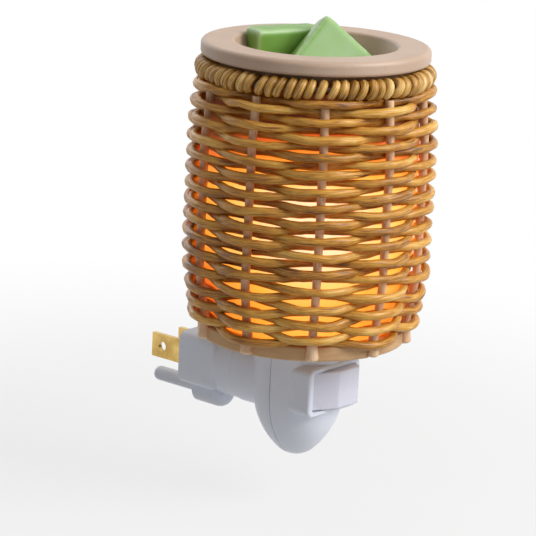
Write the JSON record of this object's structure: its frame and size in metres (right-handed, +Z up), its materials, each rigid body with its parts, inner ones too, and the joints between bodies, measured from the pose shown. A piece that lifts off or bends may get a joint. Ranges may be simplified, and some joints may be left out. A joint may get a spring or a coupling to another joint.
{
  "type": "wax melt warmer",
  "caption": "Plug-in wax melt warmer: a lamp in a woven cane shade heats a lift-off dish of wax, on a housing with a rocker switch and a swivelling wall plug.",
  "frame": {"origin": "on the plug's wall face, midway between the two flat blades", "axes": "+Y into the wall along the blades, +Z up, -Y the front, where the shade and the switch are"},
  "size_m": [0.078, 0.0993, 0.1394],
  "materials": {
    "white_plastic": "satin moulded plastic",
    "switch_plastic": "satin moulded plastic",
    "inner_plastic": "matt moulded plastic",
    "brass": "rolled",
    "steel": "zinc plated",
    "live_wire": "flexible insulation",
    "neutral_wire": "flexible insulation",
    "tan_wood": "painted matt tan",
    "amber_liner": "translucent frosted sheet, lit from inside",
    "tan_metal": "painted matt",
    "stake_cane": "peeled cane",
    "weave_cane": "varnished cane",
    "bulb_glass": "clear",
    "filament": "glowing wire",
    "dish_ceramic": "matt glaze, dusty tan",
    "green_wax": "smooth wax"
  },
  "bodies": {
    "plug": {"plug_block": "white_plastic", "live_blade": "brass", "neutral_blade": "brass", "stabiliser_pin": "white_plastic", "live_swivel_contact": "brass", "neutral_swivel_contact": "brass", "swivel_clip": "steel"},
    "housing": {"rear_shell": "white_plastic", "front_shell": "white_plastic", "shell_screws": "steel", "contact_carrier": "inner_plastic", "live_finger": "brass", "neutral_finger": "brass", "switch_case": "inner_plastic", "switch_terminals": "brass", "live_lead": "live_wire", "switched_lead": "live_wire", "neutral_lead": "neutral_wire", "lamp_holder": "inner_plastic", "lamp_sleeve": "brass", "lamp_contact": "brass", "base_disc": "tan_wood", "base_screws": "steel", "shade_liner": "amber_liner", "dish_seat": "tan_metal", "shade_stakes": "stake_cane", "weave_odd_rows": "weave_cane", "weave_even_rows": "weave_cane", "border_hoop": "weave_cane", "border_wraps": "weave_cane"},
    "rocker": {"switch_rocker": "switch_plastic"},
    "bulb_foot": {"bulb_tip": "inner_plastic"},
    "bulb": {"bulb_base": "brass", "bulb_glass": "bulb_glass", "bulb_stem": "bulb_glass", "bulb_filament": "filament"},
    "dish": {"wax_dish": "dish_ceramic"},
    "wax": {"wax_melt_flat": "green_wax", "wax_melt_leaning": "green_wax"}
  },
  "joints": [
    {"name": "plug_swivel", "type": "hinge", "parent": "plug", "child": "housing", "pos_m": [0, 0, 0], "axis": [0, 1, 0], "range_deg": [-90, 90]},
    {"name": "switch_rock", "type": "hinge", "parent": "housing", "child": "rocker", "pos_m": [0, -0.0523, 0], "axis": [0, 0, 1], "range_deg": [0, 26]},
    {"name": "bulb_rise", "type": "slide", "parent": "housing", "child": "bulb_foot", "axis": [0, 0, 1], "range_m": [0, 0.01016]},
    {"name": "bulb_unscrew", "type": "hinge", "parent": "bulb_foot", "child": "bulb", "pos_m": [0, -0.0403, 0.02], "axis": [0, 0, 1], "range_deg": [0, 1442]},
    {"name": "dish_lift", "type": "slide", "parent": "housing", "child": "dish", "axis": [0, 0, 1], "range_m": [0, 0.06]},
    {"name": "wax_lift", "type": "slide", "parent": "dish", "child": "wax", "axis": [0, 0, 1], "range_m": [0, 0.03]}
  ],
  "couplings": [
    {"joint": "bulb_unscrew", "follows": "bulb_rise", "rad_per_m": 2473.7}
  ]
}
